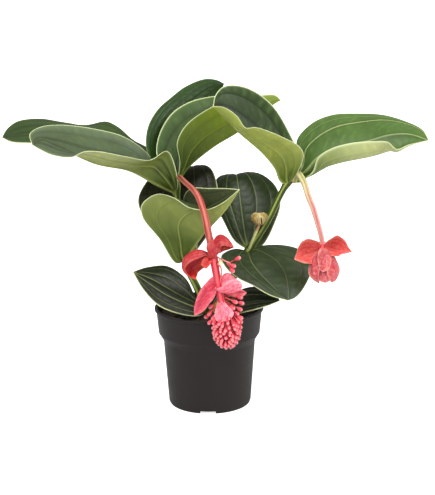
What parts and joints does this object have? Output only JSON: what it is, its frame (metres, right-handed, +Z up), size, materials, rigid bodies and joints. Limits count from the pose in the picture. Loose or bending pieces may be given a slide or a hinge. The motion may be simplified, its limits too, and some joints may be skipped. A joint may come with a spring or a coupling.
{
  "type": "potted medinilla plant",
  "caption": "Flowering house plant with broad ribbed leaves and hanging coral blooms, standing in a plain nursery pot.",
  "frame": {"origin": "centre of the pot's flat foot disc, on the ground", "axes": "+Z up along the pot's axis, +X to the right as the plant's front is seen, along its widest spread, -Y toward the front"},
  "size_m": [0.6522, 0.2634, 0.5002],
  "materials": {
    "pot": "satin moulded plastic, warm grey-black",
    "soil": "moist crumbled potting soil, dark brown",
    "stem": "smooth ridged green stem, brown and corky low down",
    "leaf": "thick leathery leaf, satin dark green above, paler below, with light veins and edge",
    "stalk": "smooth satin flower stalk, yellow-green to coral",
    "bract": "soft satin coral-pink bract with fine long ribs",
    "bud": "smooth firm pink flower bud with a paler tip",
    "dry_bract": "dry papery brown bract with pale edges"
  },
  "bodies": {
    "root": {"pot": "pot", "soil": "soil", "stem_left": "stem", "stem_right": "stem", "flower_1_stalk": "stalk", "flower_1_bloom": "bract", "flower_1_cluster": "bud", "flower_2_stalk": "stalk", "flower_2_bloom": "bract", "dry_flower": "dry_bract", "leaf_left_front": "leaf", "leaf_left_back": "leaf", "leaf_top_back": "leaf", "leaf_top_arch": "leaf", "leaf_centre_top": "leaf", "leaf_right": "leaf", "leaf_mid_left_front": "leaf", "leaf_mid_left_back": "leaf", "leaf_mid_right_back": "leaf", "leaf_mid_right_front": "leaf", "leaf_low_left": "leaf", "leaf_low_right": "leaf"}
  },
  "joints": []
}
